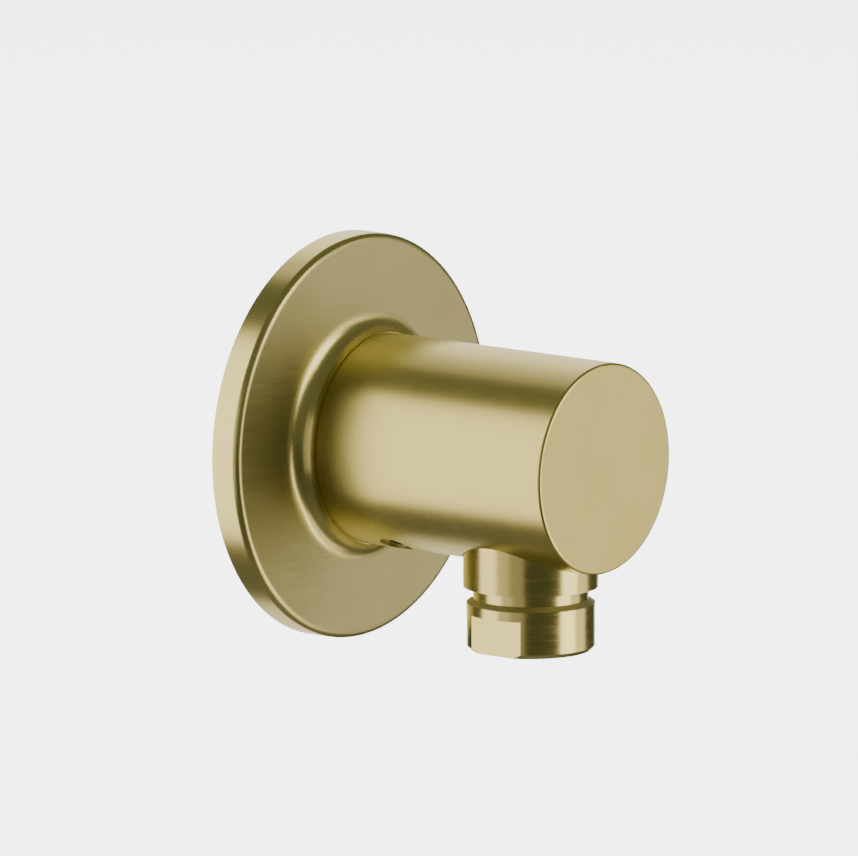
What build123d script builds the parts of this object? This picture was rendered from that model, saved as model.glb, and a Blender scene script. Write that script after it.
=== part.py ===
# Wall outlet elbow for a hand shower hose: a round wall flange, a solid round body and a hose outlet below.
# Millimetres. Origin: centre of the flange's back face, on the wall. -Y leaves the wall, +Z is up.
import os
from math import cos, radians, sin

from build123d import *

os.makedirs("parts", exist_ok=True)

# Standard sizes
g_half_d = 20.955      # major diameter of a G1/2 pipe thread
spanner_flats = 18.4   # across the two flats on the hose end
screw_d = 5.0          # locking screw
hex_key = 12.0         # key socket in the wall nipple

# Wall flange
flange_d = 66.4
flange_t = 5.25
flange_edge = 1.25     # round on the front edge
flange_wall = 2.25     # front wall over the hollow back
hollow_d = 48.0
boss_cove = 3.4        # concave sweep from the face up to the body
boss_land = 0.1        # how far the boss stands out round the body
boss_h = flange_t + boss_cove
register_clear = 0.2   # diametral, body register in the flange
gasket_in_d = 54.0
gasket_out_d = 60.0
gasket_t = 1.2

# Body
body_d = 34.6
body_front = 54.9
body_edge = 0.5
body_rear_edge = 0.3
register_d = 28.0
register_l = 3.0
body_rear = boss_h
bore_clear = 0.04      # radial, nipple in the body
lead_in = 0.55

# Wall nipple
nipple_d = 22.0
nipple_bore_d = 11.5
nipple_end = 27.5
thread_out = 13.0      # thread length behind the wall
thread_in = 2.0        # thread length in front of the wall
thread_chamfer = 1.2
thread_pitch = 1.814   # G1/2, 14 turns to the inch
thread_depth = 1.162
thread_crest = 0.35    # flat on top of each ridge
relief_d = 18.6
relief_l = 1.2
ring_depth = 1.4       # seal ring groove depth
ring_w = 2.4
ring_room = 0.3        # side play of a seal ring in its groove
ring_positions = (22.3, 25.5)
nipple_chamfer = 0.5
hex_depth = 6.5

# Locking screw
screw_y = 17.6
screw_angle = 25.0     # from straight down, towards -X
screw_mouth_d = 5.5
screw_sunk = 0.5       # below the body surface
screw_seat_w = 0.5     # half width of the groove floor
screw_seat_depth = 1.2
screw_key = 2.5
screw_key_depth = 2.4
screw_tip_gap = 0.02

# Waterway and outlet
outlet_y = 39.67
waterway_d = 11.0
waterway_end = 45.0
bore_end = nipple_end + 1.0
stub_d = 22.0
stub_clear = 0.12      # radial seam round the stub
stub_shoulder = 11.0
stub_end = 21.2
neck_d = 19.1
neck_top = 22.05
neck_end = 22.57
ring_top = 23.5
ring_bottom = 30.5
outlet_end = 31.25
outlet_end_d = 19.5
flats_top = 25.1
insert_d = 18.0        # upper thread of the outlet in the body
insert_top = 5.6
chamber_top = 4.5
seal_in_d = 16.8
seal_section = 1.8
seal_h = 1.6
cartridge_bore_d = 15.0
cartridge_top = 14.0
mouth_chamfer = 0.4

# Check valve cartridge
cage_d = 14.8
cage_bore_d = 13.2
cage_joint = 24.5
cage_seal_z = 16.6
cage_seal_w = 2.0
cage_seal_floor_d = 12.2
seat_d = 9.2
seat_z = 18.6
guide_end = 28.8
guide_ring_d = 11.4
guide_plug = 1.6
guide_clear = 0.02
hub_d = 4.4
hub_top = 23.8
spoke_top = 25.5
spoke_w = 1.2
stem_d = 2.2
stem_clear = 0.3
stem_end = 27.2
disc_d = 10.8
disc_t = 1.0
nose_d = 8.0
nose_h = 0.8
seat_gap = 0.05
face_seal_d = 10.6
face_seal_t = 0.95
stop_d = 4.2
stop_h = 0.9
spring_d = 6.6
spring_wire = 0.5
spring_turns = 4
spring_gap = 0.05

# Values that follow from the sizes above
flange_r = flange_d / 2
hollow_h = flange_t - flange_wall
body_r = body_d / 2
lip_r = body_r + boss_land
foot_r = lip_r + boss_cove
seal_recess_d = seal_in_d + 2 * seal_section
register_r = register_d / 2
bore_r = nipple_d / 2 + bore_clear
nipple_r = nipple_d / 2
thread_r = g_half_d / 2
thread_mid = (thread_out - thread_chamfer - thread_in) / 2
thread_half = (thread_out - thread_chamfer + thread_in) / 2
thread_pairs = int(thread_half / thread_pitch)
groove_half = (thread_pitch - thread_crest) / 2
relief_r = relief_d / 2
groove_r = nipple_r - ring_depth
seat_r = nipple_r - screw_seat_depth
stub_r = stub_d / 2
insert_r = insert_d / 2
cage_r = cage_d / 2
screw_r = screw_d / 2
screw_out = body_r - screw_sunk
register_end = body_rear - register_l
shank_end = thread_in + relief_l + (thread_r - relief_r)
disc_top = seat_z + seat_gap + face_seal_t
disc_bottom = disc_top + disc_t
spring_top = disc_bottom + spring_gap
spring_bottom = spoke_top - spring_gap

# Planes: the wall plane's section, the section through the outlet, and the locking screw's own plane
outlet_plane = Plane(origin=(0, -outlet_y, 0), x_dir=(1, 0, 0), z_dir=(0, -1, 0))
outlet_axis = Axis((0, -outlet_y, 0), (0, 0, 1))
screw_dir = Vector(-sin(radians(screw_angle)), 0, -cos(radians(screw_angle)))
screw_plane = Plane(origin=(0, -screw_y, 0), x_dir=(0, 1, 0), z_dir=screw_dir)
screw_section = Plane(origin=(0, -screw_y, 0), x_dir=(0, 1, 0), z_dir=Vector(0, 1, 0).cross(screw_dir))

# Wall flange: turned disc with a hollow back, a seal groove and a swept boss
with BuildPart() as wall_flange:
    with BuildSketch(Plane.XY):
        with BuildLine():
            Polyline((hollow_d / 2, 0), (flange_r, 0), (flange_r, -flange_t + flange_edge))
            RadiusArc((flange_r, -flange_t + flange_edge), (flange_r - flange_edge, -flange_t), flange_edge)
            Line((flange_r - flange_edge, -flange_t), (foot_r, -flange_t))
            RadiusArc((foot_r, -flange_t), (lip_r, -boss_h), -boss_cove)
            Polyline(
                (lip_r, -boss_h),
                (register_r + register_clear / 2, -boss_h),
                (register_r + register_clear / 2, -hollow_h),
                (hollow_d / 2, -hollow_h),
                (hollow_d / 2, 0),
            )
        make_face()
    revolve(axis=Axis.Y)
    with BuildSketch(Plane.XZ) as gasket_groove:
        Circle(gasket_out_d / 2)
        Circle(gasket_in_d / 2, mode=Mode.SUBTRACT)
    extrude(amount=gasket_t, mode=Mode.SUBTRACT)
wall_flange.part.label = "wall_flange"

# Wall gasket: flat rubber ring in the flange's back groove
with BuildPart() as wall_gasket:
    with BuildSketch(Plane.XZ):
        Circle(gasket_out_d / 2)
        Circle(gasket_in_d / 2, mode=Mode.SUBTRACT)
    extrude(amount=gasket_t)
wall_gasket.part.label = "wall_gasket"

# Wall nipple: screwed into the wall fitting with a key, carries two seal rings and the screw groove
# Its pipe thread is drawn as ridges, one for each turn, spaced from the middle of the threaded length
ridge_points = []
for turn in range(thread_pairs, -thread_pairs, -1):
    groove_y = thread_mid + (turn - 0.5) * thread_pitch
    ridge_points += [
        (thread_r, groove_y + groove_half),
        (thread_r - thread_depth, groove_y),
        (thread_r, groove_y - groove_half),
    ]
with BuildPart() as wall_nipple:
    with BuildSketch(Plane.XY):
        with BuildLine():
            Polyline(
                (nipple_bore_d / 2, thread_out),
                (thread_r - thread_chamfer, thread_out),
                (thread_r, thread_out - thread_chamfer),
                *ridge_points,
                (thread_r, -thread_in),
                (relief_r, -thread_in - (thread_r - relief_r)),
                (relief_r, -shank_end),
                (nipple_r - nipple_chamfer, -shank_end),
                (nipple_r, -shank_end - nipple_chamfer),
                (nipple_r, -screw_y + screw_seat_w + screw_seat_depth),
                (seat_r, -screw_y + screw_seat_w),
                (seat_r, -screw_y - screw_seat_w),
                (nipple_r, -screw_y - screw_seat_w - screw_seat_depth),
                (nipple_r, -nipple_end + nipple_chamfer),
                (nipple_r - nipple_chamfer, -nipple_end),
                (nipple_bore_d / 2, -nipple_end),
                close=True,
            )
        make_face()
    revolve(axis=Axis.Y)
    with BuildSketch(Plane.XY):
        for ring_y in ring_positions:
            with Locations((nipple_r, -ring_y)):
                Rectangle(2 * ring_depth, ring_w)
    revolve(axis=Axis.Y, mode=Mode.SUBTRACT)
    with BuildSketch(Plane.XZ.offset(nipple_end)):
        RegularPolygon(hex_key / 2, 6, major_radius=False)
    extrude(amount=-hex_depth, mode=Mode.SUBTRACT)
wall_nipple.part.label = "wall_nipple"

# Nipple seal rings: squeezed between the groove floor and the body's bore
ring_thick = bore_r - groove_r
ring_mid = (bore_r + groove_r) / 2
ring_corner = ring_thick * 0.3
with BuildPart() as nipple_o_ring_rear:
    with BuildSketch(Plane.XY) as ring_section:
        with Locations((ring_mid, -ring_positions[0])):
            Rectangle(ring_thick, ring_w - ring_room)
        chamfer(ring_section.vertices(), ring_corner)
    revolve(axis=Axis.Y)
nipple_o_ring_rear.part.label = "nipple_o_ring_rear"

with BuildPart() as nipple_o_ring_front:
    with BuildSketch(Plane.XY) as ring_section:
        with Locations((ring_mid, -ring_positions[1])):
            Rectangle(ring_thick, ring_w - ring_room)
        chamfer(ring_section.vertices(), ring_corner)
    revolve(axis=Axis.Y)
nipple_o_ring_front.part.label = "nipple_o_ring_front"

# Elbow body: solid bar, bored from the rear, with a stepped socket for the outlet and a screw hole
with BuildPart() as elbow_body:
    with BuildSketch(Plane.XY):
        with BuildLine():
            Polyline(
                (bore_r + lead_in, -register_end),
                (register_r, -register_end),
                (register_r, -body_rear),
                (body_r - body_rear_edge, -body_rear),
                (body_r, -body_rear - body_rear_edge),
                (body_r, -body_front + body_edge),
            )
            RadiusArc((body_r, -body_front + body_edge), (body_r - body_edge, -body_front), body_edge)
            Polyline(
                (body_r - body_edge, -body_front),
                (0, -body_front),
                (0, -waterway_end),
                (waterway_d / 2, -waterway_end),
                (waterway_d / 2, -bore_end),
                (bore_r, -bore_end),
                (bore_r, -register_end - lead_in),
                (bore_r + lead_in, -register_end),
            )
        make_face()
    revolve(axis=Axis.Y)
    with BuildSketch(outlet_plane):
        with BuildLine():
            Polyline(
                (0, -body_d),
                (stub_r + stub_clear, -body_d),
                (stub_r + stub_clear, -stub_shoulder),
                (seal_recess_d / 2, -stub_shoulder),
                (seal_recess_d / 2, -stub_shoulder + seal_h),
                (insert_r, -stub_shoulder + seal_h),
                (insert_r, -chamber_top),
                (0, -chamber_top),
                close=True,
            )
        make_face()
    revolve(axis=outlet_axis, mode=Mode.SUBTRACT)
    with BuildSketch(screw_plane.offset(nipple_r - 1)):
        Circle(screw_r)
    extrude(amount=body_r, mode=Mode.SUBTRACT)
    with BuildSketch(screw_plane.offset(screw_out)):
        Circle(screw_mouth_d / 2)
    extrude(amount=body_r, mode=Mode.SUBTRACT)
elbow_body.part.label = "elbow_body"

# Locking screw: headless, key socket outside, cone point in the nipple's groove
tip_at = seat_r + screw_tip_gap
cone_end = tip_at + screw_r - screw_seat_w
with BuildPart() as locking_screw:
    with BuildSketch(screw_section):
        with BuildLine():
            Polyline(
                (0, tip_at),
                (screw_seat_w - 0.05, tip_at),
                (screw_r, cone_end + 0.05),
                (screw_r, screw_out - 0.4),
                (screw_r - 0.4, screw_out),
                (0, screw_out),
                close=True,
            )
        make_face()
    revolve(axis=Axis((0, -screw_y, 0), screw_dir))
    with BuildSketch(screw_plane.offset(screw_out)):
        RegularPolygon(screw_key / 2, 6, major_radius=False)
    extrude(amount=-screw_key_depth, mode=Mode.SUBTRACT)
locking_screw.part.label = "locking_screw"

# Hose outlet: stub, relief neck and G1/2 end with two spanner flats, bored for the check valve
with BuildPart() as hose_outlet:
    with BuildSketch(outlet_plane):
        with BuildLine():
            Polyline(
                (waterway_d / 2, -insert_top),
                (insert_r - 0.4, -insert_top),
                (insert_r, -insert_top - 0.4),
                (insert_r, -stub_shoulder + seal_h),
                (seal_in_d / 2, -stub_shoulder + seal_h),
                (seal_in_d / 2, -stub_shoulder),
                (stub_r, -stub_shoulder),
                (stub_r, -stub_end),
                (neck_d / 2, -neck_top),
                (neck_d / 2, -neck_end),
                (thread_r, -ring_top),
                (thread_r, -ring_bottom),
                (outlet_end_d / 2, -outlet_end),
                (cartridge_bore_d / 2 + mouth_chamfer, -outlet_end),
                (cartridge_bore_d / 2, -outlet_end + mouth_chamfer),
                (cartridge_bore_d / 2, -cartridge_top),
                (waterway_d / 2, -cartridge_top),
                close=True,
            )
        make_face()
    revolve(axis=outlet_axis)
    with BuildSketch(Plane.XY.offset(-flats_top)):
        with Locations((0, -outlet_y)):
            Rectangle(stub_d * 2, stub_d * 2)
            Rectangle(spanner_flats, stub_d * 2, mode=Mode.SUBTRACT)
    extrude(amount=-stub_d, mode=Mode.SUBTRACT)
hose_outlet.part.label = "hose_outlet"

# Outlet seal ring: lies in the body's recess, pressed by the stub's shoulder
with BuildPart() as outlet_o_ring:
    with BuildSketch(outlet_plane) as seal_profile:
        with Locations(((seal_in_d + seal_section) / 2, -stub_shoulder + seal_h / 2)):
            Rectangle(seal_section, seal_h)
        chamfer(seal_profile.vertices(), min(seal_section, seal_h) * 0.3)
    revolve(axis=outlet_axis)
outlet_o_ring.part.label = "outlet_o_ring"

# Check valve cage: seat at the top, seal groove outside
with BuildPart() as check_valve_cage:
    with BuildSketch(outlet_plane):
        with BuildLine():
            Polyline(
                (seat_d / 2, -cartridge_top - 0.6),
                (seat_d / 2 + 0.6, -cartridge_top),
                (cage_r - 0.3, -cartridge_top),
                (cage_r, -cartridge_top - 0.3),
                (cage_r, -cage_seal_z + cage_seal_w / 2),
                (cage_seal_floor_d / 2, -cage_seal_z + cage_seal_w / 2),
                (cage_seal_floor_d / 2, -cage_seal_z - cage_seal_w / 2),
                (cage_r, -cage_seal_z - cage_seal_w / 2),
                (cage_r, -cage_joint),
                (cage_bore_d / 2, -cage_joint),
                (cage_bore_d / 2, -seat_z),
                (seat_d / 2, -seat_z),
                close=True,
            )
        make_face()
    revolve(axis=outlet_axis)
check_valve_cage.part.label = "check_valve_cage"

# Check valve guide: ring pressed into the cage, three spokes and a hub for the stem
with BuildPart() as check_valve_guide:
    with BuildSketch(outlet_plane):
        with BuildLine():
            Polyline(
                (guide_ring_d / 2, -cage_joint + guide_plug),
                (cage_bore_d / 2 - guide_clear, -cage_joint + guide_plug),
                (cage_bore_d / 2 - guide_clear, -cage_joint),
                (cage_r, -cage_joint),
                (cage_r, -guide_end + 0.3),
                (cage_r - 0.3, -guide_end),
                (guide_ring_d / 2, -guide_end),
                close=True,
            )
        make_face()
    revolve(axis=outlet_axis)
    with BuildSketch(Plane.XY.offset(-guide_end)):
        with Locations((0, -outlet_y)):
            with PolarLocations((guide_ring_d / 2 + 0.4) / 2, 3, start_angle=90):
                Rectangle(guide_ring_d / 2 + 0.4, spoke_w)
    extrude(amount=guide_end - spoke_top)
    with BuildSketch(Plane.XY.offset(-guide_end)):
        with Locations((0, -outlet_y)):
            Circle(hub_d / 2)
    extrude(amount=guide_end - hub_top)
    with BuildSketch(Plane.XY.offset(-guide_end)):
        with Locations((0, -outlet_y)):
            Circle(stem_d / 2 + stem_clear)
    extrude(amount=guide_end - hub_top, mode=Mode.SUBTRACT)
check_valve_guide.part.label = "check_valve_guide"

# Check valve outer seal ring: squeezed between the cage groove and the outlet's bore
cage_ring_in = cage_seal_floor_d / 2
cage_ring_out = cartridge_bore_d / 2
with BuildPart() as check_valve_o_ring:
    with BuildSketch(outlet_plane) as cage_ring:
        with Locations(((cage_ring_in + cage_ring_out) / 2, -cage_seal_z)):
            Rectangle(cage_ring_out - cage_ring_in, cage_seal_w - ring_room)
        chamfer(cage_ring.vertices(), (cage_ring_out - cage_ring_in) * 0.3)
    revolve(axis=outlet_axis)
check_valve_o_ring.part.label = "check_valve_o_ring"

# Check valve poppet: nose, disc, stop collar and guided stem
with BuildPart() as check_valve_poppet:
    with BuildSketch(outlet_plane):
        with BuildLine():
            Polyline(
                (0, -seat_z + nose_h),
                (nose_d / 2 - nose_h, -seat_z + nose_h),
                (nose_d / 2, -seat_z),
                (nose_d / 2, -disc_top),
                (disc_d / 2, -disc_top),
                (disc_d / 2, -disc_bottom),
                (stop_d / 2, -disc_bottom),
                (stop_d / 2, -disc_bottom - stop_h),
                (stem_d / 2, -disc_bottom - stop_h),
                (stem_d / 2, -stem_end + 0.3),
                (stem_d / 2 - 0.3, -stem_end),
                (0, -stem_end),
                close=True,
            )
        make_face()
    revolve(axis=outlet_axis)
check_valve_poppet.part.label = "check_valve_poppet"

# Check valve face seal: rubber ring on the poppet's disc
with BuildPart() as check_valve_face_seal:
    with BuildSketch(outlet_plane) as face_ring:
        with Locations(((nose_d + face_seal_d) / 4, -disc_top + face_seal_t / 2)):
            Rectangle((face_seal_d - nose_d) / 2, face_seal_t)
        chamfer(face_ring.vertices(), face_seal_t * 0.25)
    revolve(axis=outlet_axis)
check_valve_face_seal.part.label = "check_valve_face_seal"

# Check valve spring: closes the poppet upwards
spring_h = spring_bottom - spring_top - spring_wire
spring_pitch = spring_h / spring_turns
spring_base = Vector(0, -outlet_y, -spring_bottom + spring_wire / 2)
with BuildPart() as check_valve_spring:
    with BuildLine() as coil:
        Helix(pitch=spring_pitch, height=spring_h, radius=spring_d / 2, center=spring_base)
    with BuildSketch(Plane(origin=coil.line @ 0, z_dir=coil.line % 0)):
        RegularPolygon(spring_wire / 2, 8)
    sweep(path=coil.line, is_frenet=True)
check_valve_spring.part.label = "check_valve_spring"

export_step(wall_flange.part, "parts/wall_flange.step")
export_step(wall_gasket.part, "parts/wall_gasket.step")
export_step(wall_nipple.part, "parts/wall_nipple.step")
export_step(nipple_o_ring_rear.part, "parts/nipple_o_ring_rear.step")
export_step(nipple_o_ring_front.part, "parts/nipple_o_ring_front.step")
export_step(elbow_body.part, "parts/elbow_body.step")
export_step(locking_screw.part, "parts/locking_screw.step")
export_step(hose_outlet.part, "parts/hose_outlet.step")
export_step(outlet_o_ring.part, "parts/outlet_o_ring.step")
export_step(check_valve_cage.part, "parts/check_valve_cage.step")
export_step(check_valve_guide.part, "parts/check_valve_guide.step")
export_step(check_valve_o_ring.part, "parts/check_valve_o_ring.step")
export_step(check_valve_poppet.part, "parts/check_valve_poppet.step")
export_step(check_valve_face_seal.part, "parts/check_valve_face_seal.step")
export_step(check_valve_spring.part, "parts/check_valve_spring.step")
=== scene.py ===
# %% [markdown]
# A wall outlet elbow brings water out of a bathroom wall to the hose of a hand shower. Its solids come
# from the CAD model, at their real size and place, and nothing here moves them. This script gives them
# metal, rubber and plastic, makes four pieces again with finer meshes, and sets up a small studio.

# %% Load the frame
import math

import bmesh
import bpy
from mathutils import Matrix, Vector


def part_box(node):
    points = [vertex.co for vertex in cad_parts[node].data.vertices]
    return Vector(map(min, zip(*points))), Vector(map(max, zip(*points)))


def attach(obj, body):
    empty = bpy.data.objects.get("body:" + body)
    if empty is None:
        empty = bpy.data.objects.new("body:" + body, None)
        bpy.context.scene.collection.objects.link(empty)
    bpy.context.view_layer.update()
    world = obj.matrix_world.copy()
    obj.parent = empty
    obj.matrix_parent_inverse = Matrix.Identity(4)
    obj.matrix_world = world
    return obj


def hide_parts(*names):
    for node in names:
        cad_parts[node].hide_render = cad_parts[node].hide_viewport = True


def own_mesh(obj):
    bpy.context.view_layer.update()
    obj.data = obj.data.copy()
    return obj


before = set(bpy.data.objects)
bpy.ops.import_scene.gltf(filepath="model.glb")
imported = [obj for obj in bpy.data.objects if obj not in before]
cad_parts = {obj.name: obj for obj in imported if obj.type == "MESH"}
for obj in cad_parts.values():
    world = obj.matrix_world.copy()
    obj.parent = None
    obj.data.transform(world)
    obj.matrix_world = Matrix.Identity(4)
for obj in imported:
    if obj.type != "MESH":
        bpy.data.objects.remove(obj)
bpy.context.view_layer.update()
MM = 0.001
print("pieces in the frame:", ", ".join(sorted(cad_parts)))

# %% [markdown]
# A finish is a small net of shader nodes. In a script each node takes several lines: make it, set it,
# link it. One function does all three, so a finish reads as a short list, and a socket is named as in
# the editor. Colours are written in hex, as they look on a screen, and one function turns them into
# light for the shader.

# %% Colours and shader nodes


def linear(hex_colour):
    parts = [int(hex_colour[i:i + 2], 16) / 255 for i in (1, 3, 5)]
    return [c / 12.92 if c <= 0.04045 else ((c + 0.055) / 1.055) ** 2.4 for c in parts] + [1.0]


def add(tree, kind, inputs=(), **settings):
    made = tree.nodes.new("ShaderNode" + kind)
    for setting, value in settings.items():
        setattr(made, setting, value)
    for socket, value in dict(inputs).items():
        if isinstance(value, bpy.types.NodeSocket):
            tree.links.new(value, made.inputs[socket])
        else:
            made.inputs[socket].default_value = value
    return made


def new_material(name):
    made = bpy.data.materials.new(name)
    made.use_nodes = True
    return made, made.node_tree, made.node_tree.nodes["Principled BSDF"]


print("mid grey on a screen is light of", round(linear("#808080")[0], 3))

# %% [markdown]
# All the brass was turned on a lathe, and the tool and the brush leave fine rings round its axis. A
# drawing of rings would need a UV map on each piece. Noise needs none: it reads the distance from the
# axis and the place along it, which stay the same round a ring, and a little of the angle, which breaks
# rings into arcs. Real marks lie about 0.05 mm apart. They are drawn coarser, because finer ones would
# not show.

# %% Rings that the lathe leaves
MARK_DETAIL, MARK_CONTRAST = 3.0, 0.6


def lathe_rings(tree, centre, axis, pitch_mm, arcs):
    place = add(tree, "TexCoord").outputs["Object"]
    shifted = add(tree, "VectorMath", {0: place, 1: centre}, operation="SUBTRACT").outputs["Vector"]
    xyz = add(tree, "SeparateXYZ", {"Vector": shifted}).outputs
    along, sideways, crossways = xyz[axis], xyz["X"], xyz["Z" if axis == "Y" else "Y"]
    flat = add(tree, "CombineXYZ", {"X": sideways, "Y": crossways}).outputs["Vector"]
    radius = add(tree, "VectorMath", {0: flat}, operation="LENGTH").outputs["Value"]
    angle = add(tree, "Math", {0: crossways, 1: sideways}, operation="ARCTAN2").outputs["Value"]
    rings_per_m = 1 / (pitch_mm * MM)
    outward = add(tree, "Math", {0: radius, 1: rings_per_m}, operation="MULTIPLY").outputs["Value"]
    onward = add(tree, "Math", {0: along, 1: rings_per_m}, operation="MULTIPLY").outputs["Value"]
    around = add(tree, "Math", {0: angle, 1: arcs}, operation="MULTIPLY").outputs["Value"]
    where = add(tree, "CombineXYZ", {"X": outward, "Y": onward, "Z": around}).outputs["Vector"]
    noise = add(tree, "TexNoise", {"Vector": where, "Scale": 1.0, "Detail": MARK_DETAIL,
                                   "Roughness": MARK_CONTRAST})
    return noise.outputs["Fac"]


print("ring marks have noise detail", MARK_DETAIL)

# %% [markdown]
# The brass is one metal in several states: brushed soft on the body, brushed across on the flange's
# face, sharp from the lathe on the hose end, and bare on the nipple behind the wall. One large material
# with switches could hold them all, but it would be hard to read. Instead, each state is a short cell,
# and they share three steps: a tone from the marks and from slow clouds, a coat that turns the tone into
# colour and gloss, and the dressing of the shader, where the marks also become a shallow relief.

# %% Brass, from its marks to its gloss
# Nearly all values of a noise lie between these two.
NOISE_LOW, NOISE_HIGH = 0.3, 0.7
CLOUD_MM, CLOUD_DETAIL, MARK_SHARE = 14.0, 2.0, 0.5
BRASS_RELIEF = 0.5


def brass_tone(tree, marks):
    place = add(tree, "TexCoord").outputs["Object"]
    cloud = add(tree, "TexNoise", {"Vector": place, "Scale": 1 / (CLOUD_MM * MM), "Detail": CLOUD_DETAIL})
    both = add(tree, "Mix", {"Factor": MARK_SHARE, "A": cloud.outputs["Fac"], "B": marks})
    spread = {"Value": both.outputs["Result"], "From Min": NOISE_LOW, "From Max": NOISE_HIGH}
    return add(tree, "MapRange", spread).outputs["Result"]


def coat(tree, marks, tone, base, dark, rough, rough_play):
    tints = {"Factor": tone, "A": linear(dark), "B": linear(base)}
    gloss = {"Value": marks, "From Min": NOISE_LOW, "From Max": NOISE_HIGH,
             "To Min": rough - rough_play, "To Max": rough + rough_play}
    colour = add(tree, "Mix", tints, data_type="RGBA").outputs["Result"]
    return colour, add(tree, "MapRange", gloss).outputs["Result"]


def dress(tree, shader, colour, roughness, marks, relief, depth_mm, metallic=1.0):
    shader.inputs["Metallic"].default_value = metallic
    tree.links.new(colour, shader.inputs["Base Color"])
    tree.links.new(roughness, shader.inputs["Roughness"])
    bump = add(tree, "Bump", {"Strength": relief, "Distance": depth_mm * MM, "Height": marks})
    tree.links.new(bump.outputs["Normal"], shader.inputs["Normal"])


print("clouds in the brass are", CLOUD_MM, "mm wide")

# %% [markdown]
# The body is a solid bar, turned and brushed round, with a flat front. Its solid already has the right
# form, so it needs only a finish. The brushing is soft, so the bar shows the studio in broad bands with
# blurred edges.

# %% Satin brass of the body
# Satin brass, brushed round on the lathe: pale warm gold, and fine rings that show on the front.
body_brass, tree, shader = new_material("satin_brass_body")
rings = lathe_rings(tree, (0, 0, 0), "Y", pitch_mm=0.22, arcs=4.0)
tone = brass_tone(tree, rings)
colour, roughness = coat(tree, rings, tone, "#DACF80", "#D2C677", rough=0.30, rough_play=0.02)
dress(tree, shader, colour, roughness, rings, BRASS_RELIEF, depth_mm=0.0007)
print(body_brass.name, "has", len(tree.nodes), "shader nodes")

# %% [markdown]
# Four pieces are made again with finer meshes than the solids have: the flange, whose rim mirrors the
# studio in thin lines, the hose outlet, the wall nipple with its thread, and the check valve's spring. A
# lathe would turn the first three, so a half section is drawn and spun in the same way. Cylinders and
# booleans could do it too, but they leave uneven faces that show in a mirror. Every piece then ends
# alike: smooth shading that breaks at sharp edges, a finish, a body to ride on, and the solid that it
# stands for is hidden.

# %% From a half section to a finished piece


def half_section(mesh, points_mm):
    corners = [mesh.verts.new((r * MM, y * MM, 0)) for r, y in points_mm]
    edges = [mesh.edges.new(pair) for pair in zip(corners, corners[1:] + corners[:1])]
    return corners, edges


def spin_full(mesh, geom, steps):
    bmesh.ops.spin(mesh, geom=geom, cent=(0, 0, 0), axis=(0, 1, 0), angle=math.tau, steps=steps,
                   use_merge=True)


def fitted_piece(name, mesh, finish, node, sharp_deg):
    bmesh.ops.recalc_face_normals(mesh, faces=mesh.faces)
    shape = bpy.data.meshes.new(name)
    mesh.to_mesh(shape)
    mesh.free()
    shape.shade_smooth()
    shape.set_sharp_from_angle(angle=math.radians(sharp_deg))
    shape.materials.append(finish)
    piece = bpy.data.objects.new(name, shape)
    bpy.context.collection.objects.link(piece)
    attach(piece, "fitting")
    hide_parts(node)
    print(name, "stands for", node, "with", len(shape.polygons), "faces")
    return piece


# %% [markdown]
# The flange is a disc with a rounded rim, and a cove that sweeps up to the body. Its back is hollow,
# with a groove for the gasket. The outside sizes are read from the frame, and the others are the ones
# that the solid has.

# %% Sizes of the wall flange, in millimetres
flange_low, flange_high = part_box("wall_flange")
FLANGE_R, FLANGE_FRONT, RIM_ROUND = flange_high.x / MM, -5.25, 1.25
BOSS_R, BOSS_FRONT, COVE_ROUND = 17.4, flange_low.y / MM, 3.39
GASKET_OUT, GASKET_IN, GASKET_FLOOR = 30.0, 27.0, -1.2
HOLLOW_R, HOLLOW_FLOOR, REGISTER_R = 24.0, -3.0, 14.1
print("flange", round(2 * FLANGE_R, 2), "mm across, boss", round(-BOSS_FRONT, 2), "mm from the wall")

# %% [markdown]
# The flange's flat face was brushed once more in straight lines across, so its gloss spreads up and
# down, while the rim and the cove keep their rings. Two materials on one mesh would end in a hard edge.
# So one material fades from one finish to the other by the distance from the face's level. Real brush
# lines are finer than 0.1 mm. They are drawn 0.4 mm apart, because finer ones would not show.

# %% Brush lines, and a level where a finish changes


def brush_lines(tree, fine_mm, long_mm):
    place = add(tree, "TexCoord").outputs["Object"]
    xyz = add(tree, "SeparateXYZ", {"Vector": place}).outputs
    across = add(tree, "Math", {0: xyz["X"], 1: 1 / (long_mm * MM)}, operation="MULTIPLY").outputs["Value"]
    height = add(tree, "Math", {0: xyz["Z"], 1: 1 / (fine_mm * MM)}, operation="MULTIPLY").outputs["Value"]
    where = add(tree, "CombineXYZ", {"X": across, "Y": height}).outputs["Vector"]
    noise = add(tree, "TexNoise", {"Vector": where, "Scale": 1.0, "Detail": MARK_DETAIL,
                                   "Roughness": MARK_CONTRAST})
    return noise.outputs["Fac"]


def near_level(tree, axis, level_mm, reach_mm, fade_mm):
    place = add(tree, "TexCoord").outputs["Object"]
    along = add(tree, "SeparateXYZ", {"Vector": place}).outputs[axis]
    past = add(tree, "Math", {0: along, 1: level_mm * MM}, operation="SUBTRACT").outputs["Value"]
    away = add(tree, "Math", {0: past}, operation="ABSOLUTE").outputs["Value"]
    fade = {"Value": away, "From Min": reach_mm * MM, "From Max": (reach_mm + fade_mm) * MM,
            "To Min": 1.0, "To Max": 0.0}
    return add(tree, "MapRange", fade).outputs["Result"]


print("the face's level is y", FLANGE_FRONT, "mm")

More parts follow.
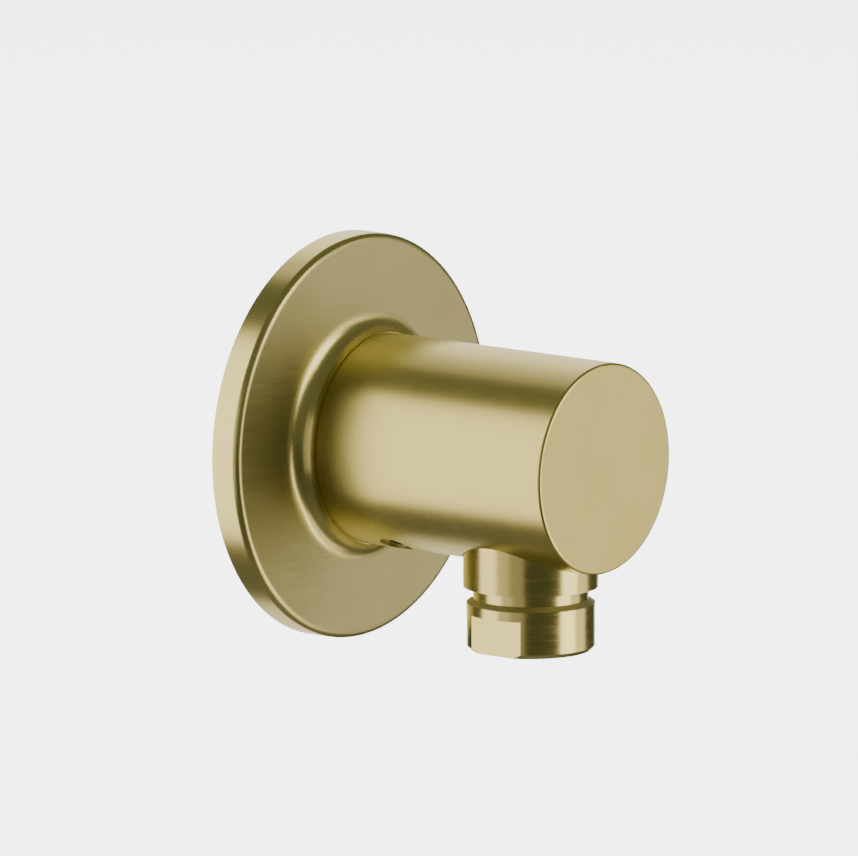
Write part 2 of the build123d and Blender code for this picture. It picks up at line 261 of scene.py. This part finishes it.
# %% Satin brass of the flange
# Satin brass, rings on the rim and lines on the face: bright thin lines at the rim, a calm dull face.
FLAT_REACH, FACE_FADE, FACE_STRETCH = 0.02, 0.18, 0.62
flange_brass, tree, shader = new_material("satin_brass_flange")
on_face = near_level(tree, "Y", FLANGE_FRONT, FLAT_REACH, FACE_FADE)
rings = lathe_rings(tree, (0, 0, 0), "Y", pitch_mm=0.22, arcs=5.0)
lines = brush_lines(tree, fine_mm=0.4, long_mm=12.0)
marks = add(tree, "Mix", {"Factor": on_face, "A": rings, "B": lines}).outputs["Result"]
tone = brass_tone(tree, marks)
rim_colour, rim_rough = coat(tree, marks, tone, "#E2D68A", "#D8CC80", rough=0.25, rough_play=0.015)
face_colour, face_rough = coat(tree, marks, tone, "#BAB581", "#ACA671", rough=0.43, rough_play=0.07)
both_colours = {"Factor": on_face, "A": rim_colour, "B": face_colour}
colour = add(tree, "Mix", both_colours, data_type="RGBA").outputs["Result"]
roughness = add(tree, "Mix", {"Factor": on_face, "A": rim_rough, "B": face_rough}).outputs["Result"]
stretch = add(tree, "Math", {0: on_face, 1: FACE_STRETCH}, operation="MULTIPLY")
# The brush went across, so the gloss stretches upright.
upright = add(tree, "CombineXYZ", {"Z": 1.0})
tree.links.new(stretch.outputs["Value"], shader.inputs["Anisotropic"])
tree.links.new(upright.outputs["Vector"], shader.inputs["Tangent"])
dress(tree, shader, colour, roughness, marks, BRASS_RELIEF, depth_mm=0.0006)
print(flange_brass.name, "has", len(tree.nodes), "shader nodes")

# %% [markdown]
# The rim and the cove are two rounded corners of the half section, so a vertex bevel rounds them before
# the spin. A bevel needs a face between the corner's edges, so the section is filled for it and emptied
# again. The broad flat face must stay flat in its shading, so a Weighted Normal modifier lets large
# faces decide.

# %% Wall flange
RIM_SEGMENTS, COVE_SEGMENTS, FLANGE_STEPS = 12, 20, 256
rim_corner, cove_corner = (FLANGE_R, FLANGE_FRONT), (BOSS_R, FLANGE_FRONT)
outline = [(HOLLOW_R, 0), (GASKET_IN, 0), (GASKET_IN, GASKET_FLOOR), (GASKET_OUT, GASKET_FLOOR),
           (GASKET_OUT, 0), (FLANGE_R, 0), rim_corner, cove_corner, (BOSS_R, BOSS_FRONT),
           (REGISTER_R, BOSS_FRONT), (REGISTER_R, HOLLOW_FLOOR), (HOLLOW_R, HOLLOW_FLOOR)]
work = bmesh.new()
corners, edges = half_section(work, outline)
bmesh.ops.contextual_create(work, geom=edges)
rim, cove = corners[outline.index(rim_corner)], corners[outline.index(cove_corner)]
for corner, size, segments in ((rim, RIM_ROUND, RIM_SEGMENTS), (cove, COVE_ROUND, COVE_SEGMENTS)):
    bmesh.ops.bevel(work, geom=[corner], offset=size * MM, offset_type="OFFSET", affect="VERTICES",
                    segments=segments, profile=0.5, material=-1)
bmesh.ops.delete(work, geom=work.faces[:], context="FACES_ONLY")
spin_full(work, work.verts[:] + work.edges[:], FLANGE_STEPS)
flange = fitted_piece("flange_turned", work, flange_brass, "wall_flange", sharp_deg=32)
flange.modifiers.new("flat_faces_stay_flat", "WEIGHTED_NORMAL").keep_sharp = True

# %% [markdown]
# The hose outlet hangs under the body: a stub, a plain neck between two sides of a groove, and the hose
# end with a small lead-in chamfer and two spanner flats. Its bore takes the check valve. Heights run
# down from the body's axis, so they are negative. The neck is a little slimmer than the solid's and has
# sharper sides, as in the photograph.

# %% Sizes of the hose outlet, in millimetres
outlet_low, outlet_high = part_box("hose_outlet")
OUTLET_Y = (outlet_low.y + outlet_high.y) / 2 / MM
INSERT_R, INSERT_TOP, SEAT_R, SEAT_TOP = 9.0, outlet_high.z / MM, 8.4, -9.4
STUB_R, STUB_TOP, STUB_END = outlet_high.x / MM, -11.0, -20.84
NECK_R, NECK_END = 9.4, -22.75
HOSE_R, HOSE_TOP, HOSE_END = 10.4775, -23.5, -30.5
END_R, OUTLET_END = 9.75, outlet_low.z / MM
WATERWAY_R, VALVE_R, VALVE_TOP, SMALL_EDGE = 5.5, 7.5, -14.0, 0.4
FLATS_TOP, FLATS_HALF = -25.1, 9.2
print("outlet's axis", round(-OUTLET_Y, 2), "mm from the wall, its end", round(-OUTLET_END, 2), "mm down")

# %% [markdown]
# The hose end is left sharper from the lathe than the body, so it mirrors the studio in crisp upright
# bands. The groove's two sides are painted darker, as painted shade, and are made rougher. They are found
# by their height: the stub's flat underside, and the chamfer between the neck and the hose end.

# %% Turned brass of the hose outlet
# Turned brass, hardly brushed: pale gold with crisp bands, fine rings, and a soft dark line at the groove,
# from painted shade on the groove's sides.
GROOVE_PAINTED_SHADE, GROOVE_ROUGH, GROOVE_FADE, INSIDE_EDGE = "#BDB885", 0.5, 0.02, 0.01
outlet_brass, tree, shader = new_material("turned_brass_outlet")
rings = lathe_rings(tree, (0, OUTLET_Y * MM, 0), "Z", pitch_mm=0.28, arcs=1.5)
tone = brass_tone(tree, rings)
colour, roughness = coat(tree, rings, tone, "#E0D486", "#D4C77B", rough=0.21, rough_play=0.05)
chamfer_middle, chamfer_half = (NECK_END + HOSE_TOP) / 2, (NECK_END - HOSE_TOP) / 2
# The groove's two sides are painted darker here as painted shade, and they are made rougher too.
for level_mm, reach_mm in ((STUB_END, FLAT_REACH), (chamfer_middle, chamfer_half - INSIDE_EDGE)):
    in_groove = near_level(tree, "Z", level_mm, reach_mm, GROOVE_FADE)
    shaded_groove = {"Factor": in_groove, "A": colour, "B": linear(GROOVE_PAINTED_SHADE)}
    colour = add(tree, "Mix", shaded_groove, data_type="RGBA").outputs["Result"]
    roughness = add(tree, "Mix", {"Factor": in_groove, "A": roughness, "B": GROOVE_ROUGH}).outputs["Result"]
dress(tree, shader, colour, roughness, rings, BRASS_RELIEF, depth_mm=0.003)
print(outlet_brass.name, "has", len(tree.nodes), "shader nodes")

# %% Hose outlet, turned and stood upright
OUTLET_STEPS = 192
work = bmesh.new()
corners, edges = half_section(work, [
    (WATERWAY_R, INSERT_TOP), (INSERT_R - SMALL_EDGE, INSERT_TOP), (INSERT_R, INSERT_TOP - SMALL_EDGE),
    (INSERT_R, SEAT_TOP), (SEAT_R, SEAT_TOP), (SEAT_R, STUB_TOP), (STUB_R, STUB_TOP), (STUB_R, STUB_END),
    (NECK_R, STUB_END), (NECK_R, NECK_END), (HOSE_R, HOSE_TOP), (HOSE_R, HOSE_END), (END_R, OUTLET_END),
    (VALVE_R + SMALL_EDGE, OUTLET_END), (VALVE_R, OUTLET_END + SMALL_EDGE), (VALVE_R, VALVE_TOP),
    (WATERWAY_R, VALVE_TOP)])
spin_full(work, corners + edges, OUTLET_STEPS)
bmesh.ops.rotate(work, verts=work.verts, cent=(0, 0, 0), matrix=Matrix.Rotation(math.pi / 2, 3, "X"))
bmesh.ops.translate(work, verts=work.verts, vec=(0, OUTLET_Y * MM, 0))
print("outlet turned with", len(work.faces), "faces")

# %% [markdown]
# The two flats give a spanner its hold. A boolean could cut them, but its faces would spoil the even
# shading. So they are cut as on a mill: the wall is split where the flats begin and along each flat,
# what stands outside is cleared, and the ledge and the flat that this leaves open are closed with one
# face each.

# %% Spanner flats of the hose outlet
# Points nearer than this to a plane, in metres, lie on it.
HAIR = 1e-7
ledge_z = FLATS_TOP * MM
bmesh.ops.bisect_plane(work, geom=work.verts[:] + work.edges[:] + work.faces[:],
                       plane_co=(0, 0, ledge_z), plane_no=(0, 0, 1))
for side in (-1, 1):
    flat_x = side * FLATS_HALF * MM
    low_verts = [v for v in work.verts if v.co.z < ledge_z + HAIR]
    low_edges = [e for e in work.edges if all(v.co.z < ledge_z + HAIR for v in e.verts)]
    low_faces = [f for f in work.faces if f.calc_center_median().z < ledge_z]
    bmesh.ops.bisect_plane(work, geom=low_verts + low_edges + low_faces,
                           plane_co=(flat_x, 0, 0), plane_no=(side, 0, 0))
    waste = [f for f in work.faces if f.calc_center_median().z < ledge_z
             and f.calc_center_median().x * side > FLATS_HALF * MM]
    bmesh.ops.delete(work, geom=waste, context="FACES")
    rim = [e for e in work.edges if e.is_boundary]
    ends = [v for v in work.verts if v.is_boundary
            and abs(v.co.z - ledge_z) < HAIR and abs(v.co.x - flat_x) < HAIR]
    chord = work.edges.new(ends)
    for axis, level in ((2, ledge_z), (0, flat_x)):
        loop = [e for e in rim if all(abs(v.co[axis] - level) < HAIR for v in e.verts)]
        bmesh.ops.edgeloop_fill(work, edges=loop + [chord])
fitted_piece("outlet_turned", work, outlet_brass, "hose_outlet", sharp_deg=20)

# %% [markdown]
# The wall nipple screws into the pipe in the wall, and the body is pushed over its spigot. From the tip
# it has a G1/2 thread, a relief, a shoulder, a groove for the locking screw's point and two grooves for
# seal rings. It is hidden on a mounted outlet, so it stays bare brass with the marks of a quick turning.

# %% Bare brass of the nipple
# Bare turned brass without the gold coat: deeper yellow, with rings that can be felt.
nipple_brass, tree, shader = new_material("bare_brass_nipple")
rings = lathe_rings(tree, (0, 0, 0), "Y", pitch_mm=0.3, arcs=2.0)
tone = brass_tone(tree, rings)
colour, roughness = coat(tree, rings, tone, "#D8C07A", "#C6AA60", rough=0.26, rough_play=0.07)
dress(tree, shader, colour, roughness, rings, BRASS_RELIEF, depth_mm=0.004)
print(nipple_brass.name, "has", len(tree.nodes), "shader nodes")

# %% Sizes of the wall nipple, in millimetres
nipple_low, nipple_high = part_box("wall_nipple")
PITCH, CREST_R, THREAD_DEPTH = 1.814, 10.4775, 1.162
ROOT_R, TIP_Y, TIP_EDGE, NIPPLE_BORE_R = CREST_R - THREAD_DEPTH, nipple_high.y / MM, 0.3, 5.75
RELIEF_Y, RELIEF_R, RELIEF_FLOOR_Y, SHOULDER_Y = -2.0, 9.3, -3.18, -4.38
SPIGOT_R, SPIGOT_EDGE, SPIGOT_END = nipple_high.x / MM, 0.5, nipple_low.y / MM
LOCK_Y, LOCK_FLOOR_R, LOCK_FLOOR_HALF = -17.6, 9.8, 0.5
RING_FLOOR_R, RING_WIDTH, RING_STARTS = 9.6, 2.4, (-21.1, -24.3)
print("nipple", round(TIP_Y - SPIGOT_END, 2), "mm long, thread", round(2 * CREST_R, 3), "mm across")

# %% Core of the wall nipple
NIPPLE_STEPS = 128
lock_half = LOCK_FLOOR_HALF + SPIGOT_R - LOCK_FLOOR_R
core = [(NIPPLE_BORE_R, TIP_Y), (ROOT_R - TIP_EDGE, TIP_Y), (ROOT_R, TIP_Y - TIP_EDGE), (ROOT_R, RELIEF_Y),
        (RELIEF_R, RELIEF_FLOOR_Y), (RELIEF_R, SHOULDER_Y),
        (SPIGOT_R - SPIGOT_EDGE, SHOULDER_Y), (SPIGOT_R, SHOULDER_Y - SPIGOT_EDGE),
        (SPIGOT_R, LOCK_Y + lock_half), (LOCK_FLOOR_R, LOCK_Y + LOCK_FLOOR_HALF),
        (LOCK_FLOOR_R, LOCK_Y - LOCK_FLOOR_HALF), (SPIGOT_R, LOCK_Y - lock_half)]
for start in RING_STARTS:
    core += [(SPIGOT_R, start), (RING_FLOOR_R, start),
             (RING_FLOOR_R, start - RING_WIDTH), (SPIGOT_R, start - RING_WIDTH)]
core += [(SPIGOT_R, SPIGOT_END + SPIGOT_EDGE), (SPIGOT_R - SPIGOT_EDGE, SPIGOT_END),
         (NIPPLE_BORE_R, SPIGOT_END)]
work = bmesh.new()
corners, edges = half_section(work, core)
spin_full(work, corners + edges, NIPPLE_STEPS)
print("nipple core turned with", len(work.faces), "faces")

# %% [markdown]
# The solid draws the thread as separate ridges. Here it is a real screw line: one tooth is spun round
# the core, and each small turn also moves it on by a share of the pitch. A Screw modifier could do it
# too, but the spin leaves the points at hand, and they are pressed inwards where a real thread runs out
# at its two ends.

# %% Pipe thread on the wall nipple
TOOTH_SINK, TOOTH_FOOT_HALF, TOOTH_CREST_HALF = 0.08, 0.86, 0.16
THREAD_STEPS, START_PITCHES, SPARE_PITCHES, TIP_TAPER = 72, 0.7, 1.2, 1.2
turns = (TIP_Y - RELIEF_Y) / PITCH - SPARE_PITCHES
tooth_y = RELIEF_Y + START_PITCHES * PITCH
tooth = [(ROOT_R - TOOTH_SINK, tooth_y - TOOTH_FOOT_HALF), (CREST_R, tooth_y - TOOTH_CREST_HALF),
         (CREST_R, tooth_y + TOOTH_CREST_HALF), (ROOT_R - TOOTH_SINK, tooth_y + TOOTH_FOOT_HALF)]
core_verts = set(work.verts)
corners, edges = half_section(work, tooth)
bmesh.ops.spin(work, geom=corners + edges, cent=(0, 0, 0), axis=(0, 1, 0), angle=math.tau * turns,
               steps=round(THREAD_STEPS * turns), dvec=(0, PITCH * MM / THREAD_STEPS, 0))
for v in [v for v in work.verts if v not in core_verts]:
    radius = math.hypot(v.co.x, v.co.z)
    at_tip = CREST_R * MM - max(0.0, v.co.y - (TIP_Y - TIP_TAPER) * MM)
    at_relief = ROOT_R * MM + max(0.0, v.co.y - RELIEF_Y * MM)
    share = min(1.0, at_tip / radius, at_relief / radius)
    v.co.x *= share
    v.co.z *= share
bmesh.ops.holes_fill(work, edges=[e for e in work.edges if e.is_boundary], sides=len(tooth))
fitted_piece("nipple_threaded", work, nipple_brass, "wall_nipple", sharp_deg=32)
print("thread turns", round(turns, 2))

# %% [markdown]
# Inside and behind there are rubber seals, moulded plastic and stainless steel. All have a fine even
# grain, from the mould or from tumbling, so one function serves them, with the grain's real size and its
# own colours. A real grain is about 0.05 mm. It is drawn 0.25 to 0.5 mm wide, because a finer one would
# not show.

# %% Rubber, plastic and steel
GRAIN_DETAIL, GRAIN_RELIEF, GRAIN_ROUGH_PLAY = 4.0, 0.4, 0.06


def grained(name, base, dark, rough, grain_mm, depth_mm, metallic=0.0):
    made, tree, shader = new_material(name)
    place = add(tree, "TexCoord").outputs["Object"]
    noise = add(tree, "TexNoise", {"Vector": place, "Scale": 1 / (grain_mm * MM), "Detail": GRAIN_DETAIL})
    grain = noise.outputs["Fac"]
    spread = {"Value": grain, "From Min": NOISE_LOW, "From Max": NOISE_HIGH}
    tone = add(tree, "MapRange", spread).outputs["Result"]
    colour, roughness = coat(tree, grain, tone, base, dark, rough, GRAIN_ROUGH_PLAY)
    dress(tree, shader, colour, roughness, grain, GRAIN_RELIEF, depth_mm, metallic)
    print(made.name, "has", len(tree.nodes), "shader nodes")
    return made


# Seal rubber, moulded: near black and dull.
seal_rubber = grained("black_seal_rubber", "#2B2B2C", "#1D1D1F", rough=0.62, grain_mm=0.35, depth_mm=0.012)
# Acetal, moulded: milky white with a low sheen.
valve_plastic = grained("white_acetal", "#E6E5DF", "#DBD9D1", rough=0.42, grain_mm=0.5, depth_mm=0.004)
# Acetal, moulded and dyed blue: the moving poppet stands out from its white cage.
poppet_plastic = grained("blue_acetal", "#3E6690", "#34577C", rough=0.40, grain_mm=0.5, depth_mm=0.004)
# Stainless steel, tumbled: neutral grey with a soft glint.
screw_steel = grained("stainless_steel", "#BDBBB6", "#A9A7A2", rough=0.30, grain_mm=0.25, depth_mm=0.003,
                      metallic=1.0)

# %% [markdown]
# The check valve's spring is one wound wire that stands on the guide's spokes. As the poppet opens, the
# real spring gets shorter, and a stiff copy would be cut by the poppet. A circle of wire is spun up a
# screw line.

# %% Spring of the check valve
WIRE_R, COIL_R, COIL_TURNS = 0.25, 3.3, 4
WIRE_SIDES, COIL_STEPS = 12, 48
foot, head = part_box("check_valve_spring")
spring_length = head.z - foot.z
coil_steps = COIL_STEPS * COIL_TURNS
step_up = (spring_length - 2 * WIRE_R * MM) / coil_steps
wire_place = Matrix.Translation((COIL_R * MM, OUTLET_Y * MM, foot.z + WIRE_R * MM))
wire_upright = Matrix.Rotation(math.pi / 2, 4, "X")
work = bmesh.new()
bmesh.ops.create_circle(work, segments=WIRE_SIDES, radius=WIRE_R * MM, matrix=wire_place @ wire_upright)
bmesh.ops.spin(work, geom=work.verts[:] + work.edges[:], cent=(0, OUTLET_Y * MM, 0), axis=(0, 0, 1),
               angle=math.tau * COIL_TURNS, steps=coil_steps, dvec=(0, 0, step_up))
bmesh.ops.holes_fill(work, edges=[e for e in work.edges if e.is_boundary], sides=WIRE_SIDES)
spring = fitted_piece("spring_wound", work, screw_steel, "check_valve_spring", sharp_deg=40)
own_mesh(spring)

# %% [markdown]
# The solids that keep their form now get their finishes. Those that were made again wear theirs as well,
# though they are hidden. What is not named in the list is a seal or the gasket, and they are all of the
# same rubber.

# %% Finishes on the solids
finishes = {
    "wall_flange": flange_brass, "elbow_body": body_brass, "hose_outlet": outlet_brass,
    "wall_nipple": nipple_brass, "locking_screw": screw_steel, "check_valve_spring": screw_steel,
    "check_valve_cage": valve_plastic, "check_valve_guide": valve_plastic,
    "check_valve_poppet": poppet_plastic,
}
for name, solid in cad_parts.items():
    solid.data.materials.clear()
    solid.data.materials.append(finishes.get(name, seal_rubber))
    print(name, "wears", solid.data.materials[0].name)

# %% [markdown]
# The camera stands where the photograph was taken: to the left of the front, a little above, and far
# away with a long lens, since parallel edges stay almost parallel in it. Two lengths aim it beside the
# object's origin.

# %% Camera
AZIMUTH, ELEVATION = math.radians(-51.895), math.radians(10.153)
PIXELS_PER_MM, FRAME_PIXELS, FAR_MM, SENSOR_MM = 6.1358, 858, 5000.0, 36.0
AIM_RIGHT_MM, AIM_UP_MM = 14.683, 0.704
NEAREST_M, FARTHEST_M = 0.1, 60.0
level = math.cos(ELEVATION)
back = Vector((math.sin(AZIMUTH) * level, -math.cos(AZIMUTH) * level, math.sin(ELEVATION)))
right = Vector((math.cos(AZIMUTH), math.sin(AZIMUTH), 0))
up = back.cross(right)
lens = bpy.data.cameras.new("camera")
lens.sensor_width = SENSOR_MM
lens.lens = SENSOR_MM * PIXELS_PER_MM * FAR_MM / FRAME_PIXELS
lens.clip_start, lens.clip_end = NEAREST_M, FARTHEST_M
camera = bpy.data.objects.new("camera", lens)
bpy.context.collection.objects.link(camera)
stand = (AIM_RIGHT_MM * right + AIM_UP_MM * up + FAR_MM * back) * MM
camera.matrix_world = Matrix.Translation(stand) @ Matrix((right, up, back)).transposed().to_4x4()
bpy.context.scene.camera = camera
print("lens", round(lens.lens), "mm, camera at", [round(v, 3) for v in stand])

# %% [markdown]
# Metal shows its surroundings, so in this picture the panels are the drawing. Softboxes could be
# modelled as glowing sheets, but area lights give less noise. back_left makes the broad bright band
# along the body, and left_rear and left carry it on, weaker. front and front_right light the front disc,
# the flange's face and the bright bands of the outlet. back_right and above_back draw the top of the
# body and the rim, low_back the light line along the body's underside, and low_front the underside of
# the stub.

# %% Light panels of the studio
# The panels in this cell all face the middle of the object.
OBJECT_MIDDLE = (0, -0.03, 0)
WARM_WHITE = "#FFF5EA"


def panel(name, place, aim, width, height, radiance, colour=WARM_WHITE):
    lamp = bpy.data.lights.new(name, "AREA")
    lamp.shape = "RECTANGLE"
    lamp.size, lamp.size_y = width, height
    lamp.energy = radiance * math.pi * width * height
    lamp.color = linear(colour)[:3]
    made = bpy.data.objects.new(name, lamp)
    bpy.context.collection.objects.link(made)
    made.location = place
    made.rotation_euler = (Vector(aim) - Vector(place)).to_track_quat("-Z", "Y").to_euler()
    made.visible_camera = False
    print("panel", name, "of", width, "by", height, "m")
    return made


# Each row is a panel's name, its place, width and height in metres, and how strongly it glows.
for name, place, width, height, radiance in (
        ("back_left", (-0.68, 0.56, 0.02), 0.585, 1.85, 2.25),
        ("left_rear", (-1.225, 0.22, -0.05), 0.51, 1.2, 0.75),
        ("left", (-1.22, -0.31, -0.05), 0.6, 1.2, 0.36),
        ("front", (0.395, -1.2, 0.0), 0.72, 2.1, 3.1),
        ("front_right", (0.95, -0.85, -0.1), 0.5, 1.5, 1.25),
        ("back_right", (1.5, 1.3, 0.3), 1.1, 2.5, 1.7),
        ("above_back", (0.58, 1.07, 1.29), 0.55, 0.5, 0.8),
        ("low_back", (0.575, 0.755, -0.72), 0.5, 0.6, 1.25),
        ("low_front", (0.36, -0.75, -0.88), 0.9, 0.6, 1.1)):
    panel(name, place, OBJECT_MIDDLE, width, height, radiance)

# %% [markdown]
# The pale floor lies far below, so that the object throws no shadow on what the camera sees of it. The
# camera looks a little down and meets the floor well behind the object, where one wide lamp lights it
# evenly. A weak greenish white comes from all round and fills what the panels leave dark.

# %% Floor and surroundings
FLOOR_Z, FLOOR_HALF, FLOOR_CELLS, FLOOR_ROUGH = -2.2, 24.0, 8, 0.9
SPOT_X, SPOT_Y, SPOT_HEIGHT, SPOT_SIZE, SPOT_GLOW, SPOT_SPREAD_DEG = 9.66, 7.55, 3.0, 6.0, 11.0, 100
ROOM_COLOUR, ROOM_GLOW = "#F8FFDC", 0.145
floor_light = panel("floor_light", (SPOT_X, SPOT_Y, FLOOR_Z + SPOT_HEIGHT), (SPOT_X, SPOT_Y, FLOOR_Z),
                    SPOT_SIZE, SPOT_SIZE, SPOT_GLOW, "#FFFFFF")
floor_light.data.spread = math.radians(SPOT_SPREAD_DEG)

room = bpy.data.worlds.new("studio")
room.use_nodes = True
room.node_tree.nodes["Background"].inputs["Color"].default_value = linear(ROOM_COLOUR)
room.node_tree.nodes["Background"].inputs["Strength"].default_value = ROOM_GLOW
bpy.context.scene.world = room

work = bmesh.new()
bmesh.ops.create_grid(work, x_segments=FLOOR_CELLS, y_segments=FLOOR_CELLS, size=FLOOR_HALF)
bmesh.ops.translate(work, verts=work.verts, vec=(0, 0, FLOOR_Z))
floor_mesh = bpy.data.meshes.new("floor")
work.to_mesh(floor_mesh)
work.free()
# Pale studio paint, dull: an even light grey.
floor_paint, tree, shader = new_material("pale_studio_floor")
shader.inputs["Base Color"].default_value = linear("#B8B8B8")
shader.inputs["Roughness"].default_value = FLOOR_ROUGH
floor_mesh.materials.append(floor_paint)
floor = bpy.data.objects.new("floor", floor_mesh)
bpy.context.collection.objects.link(floor)
print("floor at", FLOOR_Z, "m")
